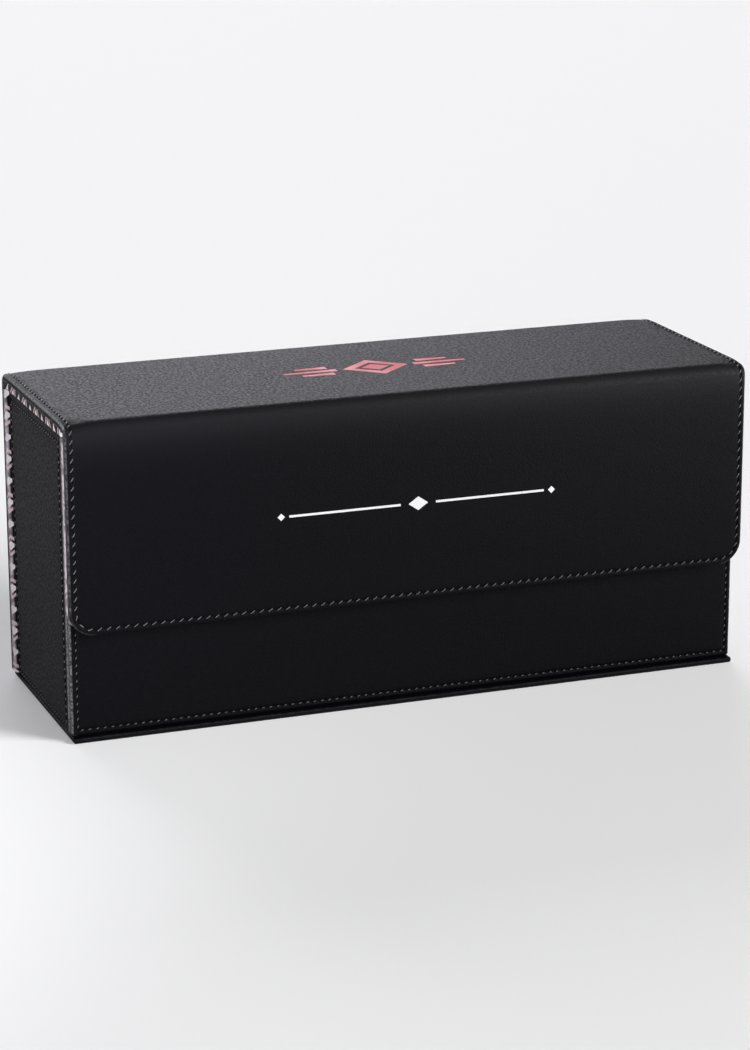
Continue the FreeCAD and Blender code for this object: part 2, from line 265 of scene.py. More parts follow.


# Skin of a panel and its thread

# paler edges across the edge, partly real rubbing and partly a painted highlight of light caught on them: on
# the rounded rim, on the turned-in side, and on the cut edge of a lining
rubAndGlintAcross = {
    "rimInset": [0, 0.02, 0.12, 0.7, 1.0],
    "rim": [0, 0.35, 1, 0.7, 0],
    "turnHeight": [-9, -3.2, -2.4, -1.4, -1.2],
    "turn": [0, 0, 0.35, 0.6, 0],
    "cutInset": [0, 0.6, 1.2],
    "cut": [1, 1, 0],
    "beforeLid": 5.0,
}


def crownOver(plan, look, a, s):
    # padding: rises from the edges as 1 - exp(-distance / reach)
    reach = look["crownReach"]
    rise = 1 - np.exp(-np.maximum(plan["width"] / 2 - np.abs(a), 0) / reach)
    rise = rise * (1 - np.exp(-np.maximum(s, 0) / reach))
    if plan["closed"]:
        rise = rise * (1 - np.exp(-np.maximum(plan["length"] - s, 0) / reach))
    return look["crown"] * rise


def stretchAndSheenOver(plan, look, s):
    # paler round a fold, partly stretched skin and partly a painted sheen of the fold and the top of the
    # flap: 1 on the fold, fading as exp(-distance / fade) to both sides
    if not plan.get("fold"):
        return 0 * s
    start, stop = plan["fold"]
    below = np.exp(-np.maximum(start - s, 0) / look["stretchSheenFade"])
    return below * np.exp(-np.maximum(s - stop, 0) / look["stretchSheenLidFade"])


def rubAndGlintEdges(plan, look, profile, runs, s):
    # each run of the outline has its own share of the rubbing and of the painted edge highlight
    inset, height = profile
    shares = look["rubAndGlintSides"] * 2
    sides = np.concatenate([np.full(run[0].shape[1], share) for run, share in zip(runs, shares)])
    if look["printed"]:
        rim, turned = 0 * inset, np.interp(inset, rubAndGlintAcross["cutInset"], rubAndGlintAcross["cut"])
    else:
        rim = np.interp(inset, rubAndGlintAcross["rimInset"], rubAndGlintAcross["rim"])
        turned = look["turnedRubAndGlint"] * np.interp(height, rubAndGlintAcross["turnHeight"], rubAndGlintAcross["turn"])
    rubAndGlintMask = look["rubAndGlint"] * np.maximum(rim, turned)[:, None] * sides[None]
    if plan.get("fold"):
        onLid = s > plan["fold"][1] - rubAndGlintAcross["beforeLid"]
        rubAndGlintMask = np.where(onLid, look["lidRubAndGlint"] * rim[:, None] * sides[None], rubAndGlintMask)
    return rubAndGlintMask


def middleSheet(plan, look, lay, ringA, ringS, height):
    # the grid inside the last ring
    a, s = np.meshgrid(
        np.linspace(ringA.min(), ringA.max(), plan["acrossSteps"] + 1),
        np.linspace(ringS.min(), ringS.max(), plan["upSteps"] + 1),
    )
    points = lay(a, s, height + crownOver(plan, look, a, s))
    uv = np.stack([a, s] if look["printed"] else [0 * a, np.full(a.shape, seam["clear"])], -1)
    return asSurface(points, uv, np.stack([0 * s, stretchAndSheenOver(plan, look, s)], -1))


def panelSkin(plan, profile, look, lay):
    # rings of the outline, each at its inset and height from the profile, closed by a grid over the middle
    inset, height = np.array(profile).T
    runs = traceOutline(plan, inset)
    a = np.concatenate([run[0] for run in runs], 1)
    s = np.concatenate([run[1] for run in runs], 1)
    counts = stitchCounts(plan, runs)
    starts = np.cumsum([0] + counts[:-1])
    steps = [np.linspace(0, 1, run[0].shape[1]) for run in runs]
    units = np.concatenate([start + count * step for start, count, step in zip(starts, counts, steps)])
    units = np.broadcast_to(units[None, :], a.shape)
    depth = np.broadcast_to(inset[:, None], a.shape)
    h = np.broadcast_to(height[:, None], a.shape) + crownOver(plan, look, a, s)
    # puckers: the skin is drawn down at each needle hole
    offSeam = (depth - seam["stitch"]) / seam["puckerReach"]
    pucker = look["pucker"] * (0.5 + 0.5 * np.cos(2 * np.pi * units)) * np.exp(-(offSeam**2))
    uv = np.stack([units, depth], -1)
    if look["printed"]:
        # the print runs on round the edge: each point is moved out by how far it hangs below the face
        out = np.stack([a[0] - a[-1], s[0] - s[-1]], -1)
        out = out / np.maximum(np.linalg.norm(out, axis=-1, keepdims=True), 1e-9)
        uv = np.stack([a, s], -1) + out[None] * np.maximum(-height, 0)[:, None, None]
    tones = np.stack([rubAndGlintEdges(plan, look, (inset, height), runs, s), stretchAndSheenOver(plan, look, s)], -1)
    rings = asSurface(lay(a, s, h - pucker), uv, tones)
    return joinSurfaces([rings, middleSheet(plan, look, lay, a[-1], s[-1], height[-1])])


def threadRow(plan, look, lay, thread):
    # each stitch: a bowed bead, radius r sqrt(1 - t^4), turned off the seam by slant cos(2 angle)
    runs = traceOutline(plan, [seam["stitch"]])
    spots = []
    for run, count in zip(runs, stitchCounts(plan, runs)):
        if not count:
            continue
        t = (np.arange(count) + 0.5) / count
        grid = np.linspace(0, 1, run[0].shape[1])
        near = 0.1 / count
        a, s = [[np.interp(t + step, grid, line[0]) for step in (-near, 0, near)] for line in run]
        spots.append([a[1], s[1], a[2] - a[0], s[2] - s[0]])
    a, s, da, ds = np.concatenate(spots, 1)
    angle = np.arctan2(ds, da)
    turned = angle + math.radians(thread["slant"]) * np.cos(2 * angle)
    rings, sides = thread["rings"], thread["sides"]
    t = np.linspace(-1, 1, rings)
    phi = np.linspace(0, 2 * np.pi, sides, endpoint=False)
    # lengths vary by a fixed scatter, the fraction of a steep sine
    wave = np.sin(np.arange(len(a)) * 12.9898) * 43758.5453
    vary = 1 + thread["vary"] * (wave - np.floor(wave) - 0.5)
    radius = thread["radius"] * np.sqrt(np.maximum(1 - t**4, 0))
    along = (thread["length"] / 2 * t)[None, :, None] * vary[:, None, None]
    across = (radius[:, None] * np.cos(phi)[None, :])[None]
    lift = (thread["bow"] * (1 - t**2) - thread["sink"])[:, None] + radius[:, None] * np.sin(phi)[None, :]
    cosine, sine = np.cos(turned)[:, None, None], np.sin(turned)[:, None, None]
    pointA = a[:, None, None] + along * cosine - across * sine
    pointS = s[:, None, None] + along * sine + across * cosine
    pointH = np.broadcast_to(lift[None], pointA.shape) + crownOver(plan, look, pointA, pointS)
    ring = np.arange(sides)
    following = np.roll(ring, -1)
    quad = np.stack([ring, following, following + sides, ring + sides], -1)
    one = (quad[None] + (np.arange(rings - 1) * sides)[:, None, None]).reshape(-1, 4)
    faces = (one[None] + (np.arange(len(a)) * rings * sides)[:, None, None]).reshape(-1, 4)
    uvAlong = np.broadcast_to(along, pointA.shape)
    uvRound = np.broadcast_to(phi[None, None, :], pointA.shape)
    uv = np.stack([uvAlong, uvRound], -1).reshape(-1, 2)
    return lay(pointA, pointS, pointH).reshape(-1, 3), faces, uv, None


# Shader helpers

def newMaterial(name):
    material = bpy.data.materials.new(name)
    material.use_nodes = True
    tree = material.node_tree
    return material, tree, tree.nodes["Principled BSDF"]


def feed(tree, socket, value):
    # a socket takes a link or a constant
    if isinstance(value, bpy.types.NodeSocket):
        tree.links.new(value, socket)
    else:
        socket.default_value = value


def feedAll(tree, node, values):
    for key, value in values.items():
        feed(tree, node.inputs[key], value)
    return node


def put(tree, kind, **values):
    # a node with its settings made and its sockets fed
    node = tree.nodes.new(kind)
    for key, value in values.items():
        if hasattr(node, key) and key not in node.inputs:
            setattr(node, key, value)
        else:
            feed(tree, node.inputs[key], value)
    return node


def maths(tree, operation, *values):
    node = put(tree, "ShaderNodeMath", operation=operation)
    for socket, value in zip(node.inputs, values):
        feed(tree, socket, value)
    return node.outputs[0]


def smoothStep(tree, value, low, high, toLow=0.0, toHigh=1.0):
    node = put(tree, "ShaderNodeMapRange", interpolation_type="SMOOTHSTEP", Value=value)
    feedAll(tree, node, {"From Min": low, "From Max": high, "To Min": toLow, "To Max": toHigh})
    return node.outputs["Result"]


def mixColor(tree, factor, first, second):
    # the node's colour sockets are its seventh and eighth, and its third output
    node = put(tree, "ShaderNodeMix", data_type="RGBA")
    for place, value in ((0, factor), (6, first), (7, second)):
        feed(tree, node.inputs[place], value)
    return node.outputs[2]


def noise(tree, vector, scale, detail, **more):
    node = put(tree, "ShaderNodeTexNoise", Vector=vector, Scale=scale, Detail=detail, **more)
    return node.outputs["Fac"]


def bumped(tree, strength, distance, height, **more):
    node = put(tree, "ShaderNodeBump", Strength=strength, Distance=distance, Height=height, **more)
    return node.outputs["Normal"]


def objectPlace(tree):
    return put(tree, "ShaderNodeTexCoord").outputs["Object"]


def flatMap(tree):
    # the two numbers of a piece's own flat map
    flat = put(tree, "ShaderNodeUVMap", uv_map="flat")
    split = put(tree, "ShaderNodeSeparateXYZ", Vector=flat.outputs["UV"])
    return split.outputs["X"], split.outputs["Y"]


def toneOf(tree, label):
    return put(tree, "ShaderNodeAttribute", attribute_name=label).outputs["Fac"]


def newGroup(name, inputs, outputs):
    group = bpy.data.node_groups.new(name, "ShaderNodeTree")
    for label, kind, value in inputs:
        socket = group.interface.new_socket(label, in_out="INPUT", socket_type=kind)
        if value is not None:
            socket.default_value = value
    for label, kind in outputs:
        group.interface.new_socket(label, in_out="OUTPUT", socket_type=kind)
    return group, group.nodes.new("NodeGroupInput"), group.nodes.new("NodeGroupOutput")


# Fine leather grain: rounded pebbles, creases between them and slow unevenness
grainLook = {
    "warpScale": 700.0,
    "warp": 0.0006,
    "softness": 0.6,
    "fineScale": 2600.0,
    "fine": 0.35,
    "slowRoughness": 0.55,
    "speckleScale": 720.0,
    "toneRange": (0.5, 1.15),
    "slowRange": (0.3, 0.7),
    "speckleRange": (0.32, 0.68),
}


def makeGrain():
    look = grainLook
    group, source, target = newGroup(
        "leatherGrain",
        [
            ("Vector", "NodeSocketVector", None),
            ("Pebble", "NodeSocketFloat", 1500.0),
            ("Unevenness", "NodeSocketFloat", 60.0),
        ],
        [(label, "NodeSocketFloat") for label in ("Height", "Tone", "Slow", "Speckle")],
    )
    place = source.outputs["Vector"]
    warp = put(group, "ShaderNodeTexNoise", Vector=place, Scale=look["warpScale"], Detail=2.0)
    shifted = put(group, "ShaderNodeVectorMath", operation="MULTIPLY_ADD")
    for socket, value in zip(shifted.inputs, (warp.outputs["Color"], (look["warp"],) * 3, place)):
        feed(group, socket, value)
    pebble = put(
        group,
        "ShaderNodeTexVoronoi",
        feature="SMOOTH_F1",
        Vector=shifted.outputs[0],
        Scale=source.outputs["Pebble"],
        Smoothness=look["softness"],
    )
    fine = noise(group, place, look["fineScale"], detail=3.0)
    slow = noise(group, place, source.outputs["Unevenness"], detail=3.0, Roughness=look["slowRoughness"])
    speckle = noise(group, place, look["speckleScale"], detail=1.0)
    dome = maths(group, "SUBTRACT", 1.0, pebble.outputs["Distance"])
    height = maths(group, "MULTIPLY_ADD", fine, look["fine"], dome)
    results = {
        "Height": height,
        "Tone": smoothStep(group, height, *look["toneRange"]),
        "Slow": smoothStep(group, slow, *look["slowRange"]),
        "Speckle": smoothStep(group, speckle, *look["speckleRange"]),
    }
    feedAll(group, target, results)
    return group


leatherGrain = makeGrain()


def grainOn(tree, look):
    node = put(tree, "ShaderNodeGroup", node_tree=leatherGrain)
    sizes = {"Vector": objectPlace(tree), "Pebble": look["pebble"], "Unevenness": look["unevenness"]}
    return feedAll(tree, node, sizes).outputs


def rubAndGlintTone(tree, grain, tone, look):
    # paler edges, partly rubbing and partly a painted highlight: paler where the grain stands high
    crest = smoothStep(tree, grain["Speckle"], *look["crest"])
    return mixColor(tree, maths(tree, "MULTIPLY", toneOf(tree, "rubAndGlint"), crest), tone, look["rubbedAndLit"])


leatherLook = {
    "low": (0.0012, 0.0012, 0.0021, 1),
    "high": (0.0030, 0.0030, 0.0045, 1),
    # colour in the needle holes: painted shade in the holes
    "hole": (0.0010, 0.0010, 0.0012, 1),
    "rubbedAndLit": (0.36, 0.35, 0.355, 1),
    # tone of the fold band: stretched skin with a painted sheen
    "stretchAndSheenTone": (0.0074, 0.0074, 0.0089, 1),
    "crest": (0.15, 0.75, 0.25, 1.0),
    "pebble": 1700.0,
    "unevenness": 55.0,
    "specular": 0.06,
    "roughLow": 0.50,
    "roughHigh": 0.68,
    "grainBump": 0.30,
    "grainStep": 0.0003,
    "slowBump": 0.02,
    "slowStep": 0.002,
    "holePlaces": ((0.12, -1), (0.88, 1)),
    "holePitch": 4.2,
    "holeOff": 0.275,
    "holeSpread": 0.30,
    "holeRough": 0.3,
    "holeDepth": 3.0,
}


def needleHoles(tree, look):
    # at both ends of each stitch, from the seam map: stitches along, millimetres from the edge
    stitches, fromEdge = flatMap(tree)
    cell = maths(tree, "FRACT", stitches)
    inset = maths(tree, "SUBTRACT", fromEdge, seam["stitch"])
    found = []
    for spot, lean in look["holePlaces"]:
        along = maths(tree, "MULTIPLY", maths(tree, "SUBTRACT", cell, spot), look["holePitch"])
        across = maths(tree, "SUBTRACT", inset, lean * look["holeOff"])
        squares = [maths(tree, "MULTIPLY", way, way) for way in (along, across)]
        fall = maths(tree, "MULTIPLY", maths(tree, "ADD", *squares), -1 / (2 * look["holeSpread"] ** 2))
        found.append(maths(tree, "EXPONENT", fall))
    return maths(tree, "MAXIMUM", *found)


def makeLeather():
    look = leatherLook
    material, tree, shader = newMaterial("blackLeather")
    grain = grainOn(tree, look)
    holes = needleHoles(tree, look)
    tone = mixColor(tree, grain["Tone"], look["low"], look["high"])
    # painted sheen: the skin paler round the folds and down the top of the flap
    tone = mixColor(tree, toneOf(tree, "stretchAndSheen"), tone, look["stretchAndSheenTone"])
    # paler edges: rubbing with a painted highlight
    tone = rubAndGlintTone(tree, grain, tone, look)
    rough = put(tree, "ShaderNodeMapRange", Value=grain["Speckle"])
    feedAll(tree, rough, {"To Min": look["roughLow"], "To Max": look["roughHigh"]})
    relief = maths(tree, "MULTIPLY_ADD", holes, -look["holeDepth"], grain["Height"])
    slow = bumped(tree, look["slowBump"], look["slowStep"], grain["Slow"])
    # the needle holes are painted darker, a painted shade in the holes, and sunk by the relief
    sockets = {
        "Base Color": mixColor(tree, holes, tone, look["hole"]),
        "Roughness": maths(tree, "MULTIPLY_ADD", holes, look["holeRough"], rough.outputs[0]),
        "Normal": bumped(tree, look["grainBump"], look["grainStep"], relief, Normal=slow),
        "Specular IOR Level": look["specular"],
    }
    feedAll(tree, shader, sockets)
    return material


blackLeather = makeLeather()

# Printed lining: a half-drop repeat of framed lozenges, with small lozenges between them
liningLook = {
    "ground": (0.004, 0.004, 0.005, 1),
    "pink": (0.50, 0.37, 0.37, 1),
    "white": (0.66, 0.62, 0.62, 1),
    "backingAndGlint": (0.50, 0.43, 0.44, 1),
    "repeatAcross": 345 / 14,
    "repeatUp": 22.0,
    "lozenge": (0.30, 0.26),
    "ringInner": (0.66, 0.70),
    "ringOuter": (1.0, 0.96),
    "heart": (0.44, 0.40),
    "small": (0.13, 0.11),
    "smallEdge": (1.0, 0.92),
    "weaveScale": 1400.0,
    "inkWear": (0.25, 0.5, 0.78, 1.0),
    "patchScale": 210.0,
    "patches": (0.40, 0.58, 0.35, 1.0),
    "rough": (0.3, 0.7, 0.55, 0.7),
    "bump": 0.12,
    "bumpStep": 0.0003,
    "specular": 0.08,
}


def lozengePrint(tree, look):
    # masks of the pink rings and of the white lozenges
    acrossSheet, upSheet = flatMap(tree)
    # half a repeat over, so that motifs lie across the turned edges
    column = maths(tree, "ADD", maths(tree, "DIVIDE", acrossSheet, look["repeatAcross"]), 0.5)
    row = maths(tree, "DIVIDE", upSheet, look["repeatUp"])
    odd = maths(tree, "FLOORED_MODULO", maths(tree, "FLOOR", column), 2.0)
    row = maths(tree, "ADD", row, maths(tree, "MULTIPLY", odd, 0.5))
    u, v = [maths(tree, "SUBTRACT", maths(tree, "FRACT", way), 0.5) for way in (column, row)]
    absU, absV = maths(tree, "ABSOLUTE", u), maths(tree, "ABSOLUTE", v)

    def lozenge(size, fromMiddle):
        # 1 on the outline of a lozenge of that half width and half height
        wide, high = size
        return maths(tree, "ADD", maths(tree, "DIVIDE", absU, wide), maths(tree, "DIVIDE", fromMiddle, high))

    large = lozenge(look["lozenge"], absV)
    # the small one lies at the ends of each cell
    small = lozenge(look["small"], maths(tree, "SUBTRACT", 0.5, absV))
    edges = [smoothStep(tree, large, *look[key]) for key in ("ringInner", "ringOuter")]
    fills = [smoothStep(tree, large, *look["heart"]), smoothStep(tree, small, *look["smallEdge"])]
    return maths(tree, "MULTIPLY", *edges), maths(tree, "MAXIMUM", *fills)


def makeLining():
    look = liningLook
    material, tree, shader = newMaterial("printedLining")
    ring, white = lozengePrint(tree, look)
    place = objectPlace(tree)
    weave = noise(tree, place, look["weaveScale"], detail=2.0)
    ink = smoothStep(tree, weave, *look["inkWear"])
    tone = mixColor(tree, maths(tree, "MULTIPLY", ring, ink), look["ground"], look["pink"])
    tone = mixColor(tree, maths(tree, "MULTIPLY", white, ink), tone, look["white"])
    # the pale underside of the print shows along a cut edge, partly real and partly a painted highlight of
    # the lit edge
    patches = smoothStep(tree, noise(tree, place, look["patchScale"], detail=3.0), *look["patches"])
    bareAndLit = maths(tree, "MULTIPLY", toneOf(tree, "rubAndGlint"), patches)
    sockets = {
        "Base Color": mixColor(tree, bareAndLit, tone, look["backingAndGlint"]),
        "Roughness": smoothStep(tree, weave, *look["rough"]),
        "Normal": bumped(tree, look["bump"], look["bumpStep"], weave),
        "Specular IOR Level": look["specular"],
    }
    feedAll(tree, shader, sockets)
    return material


printedLining = makeLining()

plainLook = {
    "low": (0.004, 0.004, 0.005, 1),
    "high": (0.010, 0.010, 0.011, 1),
    "rubbedAndLit": (0.36, 0.35, 0.355, 1),
    "crest": (0.15, 0.75, 0.25, 1.0),
    "pebble": 2300.0,
    "unevenness": 40.0,
    "rough": (0.0, 1.0, 0.5, 0.62),
    "bump": 0.4,
    "bumpStep": 0.0003,
    "specular": 0.08,
}


def makePlainLining():
    look = plainLook
    material, tree, shader = newMaterial("plainLining")
    grain = grainOn(tree, look)
    tone = mixColor(tree, grain["Tone"], look["low"], look["high"])
    sockets = {
        "Base Color": rubAndGlintTone(tree, grain, tone, look),
        "Roughness": smoothStep(tree, grain["Slow"], *look["rough"]),
        "Normal": bumped(tree, look["bump"], look["bumpStep"], grain["Height"]),
        "Specular IOR Level": look["specular"],
    }
    feedAll(tree, shader, sockets)
    return material


plainLining = makePlainLining()

# Thread: two plies, seen as a sine across length and turn; darker between the plies, a painted shade in the
# grooves of the twist
threadLook = {
    "pale": (0.145, 0.142, 0.145, 1),
    "dark": (0.04, 0.04, 0.041, 1),
    "twists": 4.8,
    "plies": 2.0,
    "rough": (0.0, 1.0, 0.5, 0.34),
}


def makeThread():
    look = threadLook
    material, tree, shader = newMaterial("paleThread")
    along, turned = flatMap(tree)
    turn = maths(tree, "MULTIPLY_ADD", along, look["twists"], turned)
    ply = maths(tree, "SINE", maths(tree, "MULTIPLY", turn, look["plies"]))
    ply = maths(tree, "MULTIPLY_ADD", ply, 0.5, 0.5)
    sockets = {
        "Base Color": mixColor(tree, ply, look["dark"], look["pale"]),
        "Roughness": smoothStep(tree, ply, *look["rough"]),
    }
    feedAll(tree, shader, sockets)
    return material


paleThread = makeThread()
print("leather, lining and thread finishes made")

# Cover skin: flap, front fold and half of the lid in one piece; back, rear fold and the other half in another
coverSkin = {
    "foldRadius": 5.0,
    "foldReach": 6.0,
    "edgeDepth": 3.4,
    "flapCorner": 12.0,
    "backCorner": 1.4,
    "beyondCorner": [(12.5, 0.0), (14.0, 0.0)],
    "pitch": 4.4,
    "thickness": 0.9,
    "crown": 0.40,
    "crownReach": 9.0,
    "pucker": 0.16,
    "pinch": {
        "from": 3.0,
        "reach": 6.5,
        "along": 0.85,
        "spread": 5.5,
        "frontDepth": 0.9,
        "backDepth": 0.35,
    },
    # paler edges: rubbing with a painted highlight, strongest along the lid's rim and the sides
    "rubAndGlint": 0.25,
    "lidRubAndGlint": 0.80,
    "rubAndGlintSides": [1.0, 0.3, 0.0, 0.3, 1.0],
    "turnedRubAndGlint": 1.0,
    # the fold band: paler skin with a painted sheen
    "stretchSheenFrom": 2.0,
    "stretchSheenFade": 7.0,
    "stretchSheenLidFade": 2.0,
    "printed": False,
}
# walls and ends: paler edges, rubbing with a painted highlight
wallSkin = dict(coverSkin, pitch=3.75, corner=1.4, seats=evenSeats, crown=0.30, crownReach=8.0, rubAndGlint=0.5)
endSkin = dict(wallSkin, seats=(4.2, 2.5, 5.2), rubAndGlint=0.35)
stitch = {
    "length": 3.0,
    "radius": 0.24,
    "slant": 34.0,
    "bow": 0.30,
    "sink": 0.22,
    "vary": 0.14,
    "rings": 6,
    "sides": 6,
}
wallStitch = dict(stitch, length=1.6, radius=0.21, slant=22.0)
# edge of a skin as (inset, height); the rim's heights count from the seam
skinEdge = {
    "rim": [(0.35, 0.0), (0.12, 0.12), (0.0, 0.45)],
    "side": [(0.0, -2.2), (0.0, -1.4)],
    "roundSteps": 7,
    "bead": [(1.75, 0.03), (2.1, 0.0), (2.4, -0.12)],
    "valley": [(2.7, -0.30), (3.0, -0.38), (3.3, -0.32), (3.7, -0.16), (4.2, -0.05)],
    "face": [(5.0, 0.0), (6.5, 0.0), (9.0, 0.0)],
}


def quarterRound(radius, turns):
    # from the side of an edge up to its face
    return [(radius - radius * np.cos(q), -radius + radius * np.sin(q)) for q in turns]


def skinProfile(depth, beyond):
    # from the seam round the edge to the face: curled rim, straight side, quarter round, bead, stitch valley
    edge = skinEdge
    rim = [(inset, up - depth) for inset, up in edge["rim"]]
    turn = quarterRound(seam["round"], np.linspace(0, np.pi / 2, edge["roundSteps"])[1:])
    return rim + edge["side"] + turn + edge["bead"] + edge["valley"] + edge["face"] + beyond


def makeCover(name, side, foot, corner, nodes):
    look = coverSkin
    lay, toLid = foldRoute(side, foot, look["foldRadius"], look["pinch"])
    face = abs(frontFace if side < 0 else backFace)
    length = toLid + face - look["foldRadius"]
    plan = planPanel(boxLength, length, corner, look["pitch"])
    plan["fold"] = (toLid - look["foldRadius"] * np.pi / 2 - look["stretchSheenFrom"], toLid)
    beyond = look["beyondCorner"] if corner > seam["settled"] else []
    skin = panelSkin(plan, skinProfile(look["edgeDepth"], beyond), look, lay)
    piece = thicken(newPiece(name + "Skin", *skin, blackLeather), look["thickness"])
    row = newPiece(name + "Stitches", *threadRow(plan, look, lay, stitch), paleThread)
    for part in (piece, row):
        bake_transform(part)
    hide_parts(*nodes)


# where each fold's bend begins and ends
foldTop = (0, (frontFace + coverSkin["foldReach"]) * metres, topFace * metres)
foldFront = (0, frontFace * metres, closingHeight * metres)
foldRear = (0, backFace * metres, closingHeight * metres)
foldRearTop = (0, (backFace - coverSkin["foldReach"]) * metres, topFace * metres)
flapBend = ("lid", "flap", foldTop, foldFront)
lidBend = ("case", "lid", foldRear, foldRearTop)
makeCover(
    "flap",
    -1,
    flapLow[2],
    coverSkin["flapCorner"],
    ("flap_leather", "flap_fold_leather"),
)
makeCover(
    "back",
    1,
    backLow[2],
    coverSkin["backCorner"],
    ("back_leather", "lid_fold_leather", "lid_leather"),
)
print("cover skin made")


def makeWall(name, node, lay, width, look):
    height = wallHigh[2] - wallLow[2]
    plan = planPanel(width, height, look["corner"], look["pitch"], look["corner"], look["seats"])
    skin = panelSkin(plan, skinProfile(look["edgeDepth"], []), look, lay)
    piece = thicken(newPiece(name + "Skin", *skin, blackLeather), look["thickness"])
    row = newPiece(name + "Stitches", *threadRow(plan, look, lay, wallStitch), paleThread)
    for part in (piece, row):
        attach(part, "case")
    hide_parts(node)


makeWall(
    "frontWall",
    "front_leather",
    flatRoute((0, wallLow[1], wallLow[2]), (1, 0, 0), (0, 0, 1)),
    wallHigh[0] - wallLow[0],
    wallSkin,
)
for name, node, side in (("leftEnd", "left_end_leather", -1), ("rightEnd", "right_end_leather", 1)):
    makeWall(
        name,
        node,
        flatRoute((side * -endLow[0], endMiddle, endLow[2]), (0, side, 0), (0, 0, 1)),
        endHigh[1] - endLow[1],
        endSkin,
    )
print("wall skins made")

# Base skin: wraps the base's edge and turns in below; its front edge is a lip, paler on its rounding, partly
# rubbing and partly a painted highlight
baseSkin = dict(wallSkin, pitch=6.0, crown=0.0, pucker=0.0, rubAndGlint=0.03, turnedRubAndGlint=0.0)
baseSkin["rubAndGlintSides"] = [0.0, 0.3, 1.0, 0.3, 0.0]
baseEdge = {
    "turnIn": 6.0,
    "flatFrom": 1.6,
    "footRound": 0.9,
    "topRound": 1.2,
    "roundSteps": 6,
    "face": [(2.5, 0.0), (5.0, 0.0), (9.0, 0.0)],
}


def makeBase():
    look, edge = baseSkin, baseEdge
    width, length, thick = baseHigh - baseLow
    turns = np.linspace(0, np.pi / 2, edge["roundSteps"])
    r = edge["footRound"]
    profile = [(edge["turnIn"], -thick), (edge["flatFrom"], -thick)]
    profile += [(r - r * np.sin(q), -thick + r - r * np.cos(q)) for q in turns]
    profile += quarterRound(edge["topRound"], turns) + edge["face"]
    plan = planPanel(width, length, look["corner"], look["pitch"], look["corner"], perStitch=1)
    lay = flatRoute((0, baseLow[1], 0), (-1, 0, 0), (0, 1, 0))
    piece = newPiece("baseSkin", *panelSkin(plan, profile, look, lay), blackLeather)
    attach(piece, "case")
    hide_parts("base_leather")


makeBase()
print("base skin made")

# Lining sheets
liningSheet = {
    "thickness": 0.7,
    "coverThick": 6.8,
    "wallThick": 6.6,
    "round": 0.6,
    "roundSteps": 5,
    "rim": [(0.35, 0.0), (0.1, 0.12), (0.0, 0.4)],
    "face": [(1.5, 0.0), (4.0, 0.0)],
    "beyondCorner": [(8.0, 0.0), (14.0, 0.0)],
    "pitch": 8.0,
    "wallCorner": 1.4,
    # the walls' lining edges are paler: rubbing with a painted highlight
    "wallRubAndGlint": 0.45,
    "crown": 0.0,
    "crownReach": 9.0,
    "pucker": 0.0,
    "rubAndGlintSides": coverSkin["rubAndGlintSides"],
    "printed": True,
}
# the linings of the folds, and the strips on the boards' edges that they meet
foldLining = {
    "underSkin": 1.75,
    "overlap": 0.4,
    "ontoLid": 1.0,
    "endInset": 1.1,
    "columns": 140,
    "rows": 11,
    "stripInset": 0.9,
    "stripTop": 3.0,
    "stripColumns": 60,
    "stripRows": 3,
    "stripOverlap": 0.2,
}
floorSheet = {"columns": 42, "rows": 13, "lift": 0.25, "liftPower": 12}


def liningPanel(width, length, lowRound, highRound, lay, depth, rubAndGlint):
    # profile: from the seam round the lining's own edge to its face
    look = liningSheet
    rim = [(inset, up - depth) for inset, up in look["rim"]]
    turn = quarterRound(look["round"], np.linspace(0, np.pi / 2, look["roundSteps"]))
    beyond = look["beyondCorner"] if lowRound > seam["settled"] else []
    plan = planPanel(width, length, lowRound, look["pitch"], highRound, perStitch=1)
    return panelSkin(plan, rim + turn + look["face"] + beyond, dict(look, rubAndGlint=rubAndGlint), lay)


def foldSheet(side):
    # follows the fold's skin from under the lid's edge to the edge of the board below
    look, cover = foldLining, coverSkin
    lay, toLid = foldRoute(side, closingHeight - look["overlap"], cover["foldRadius"], cover["pinch"])
    climb = toLid - cover["foldRadius"] * np.pi / 2
    onLid = toLid + look["ontoLid"] + look["overlap"]
    s = np.concatenate([[onLid], np.linspace(toLid, climb, look["rows"]), [0]])
    reach = boxLength / 2 - look["endInset"]
    x, s = np.meshgrid(np.linspace(-reach, reach, look["columns"]), s, indexing="ij")
    points = lay(-x, s, np.full(x.shape, -look["underSkin"]))
    return asSurface(points, np.stack([x, toLid - s], -1))


def edgeStrip(lay, s, depth):
    # the lining goes on over the whole of a board's edge where a fold begins
    look = foldLining
    reach = boxLength / 2 - look["stripInset"]
    a, h = np.meshgrid(
        np.linspace(-reach, reach, look["stripColumns"]),
        np.linspace(-depth, -look["stripTop"], look["stripRows"]),
        indexing="ij",
    )
    faces = gridFaces(*a.shape)
    uv = np.stack([a, s - h if s else h], -1)
    return asSurface(lay(a, 0 * a + s, h), uv, faces=faces if s else faces[:, ::-1])


def finishLining(node):
    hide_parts(node)


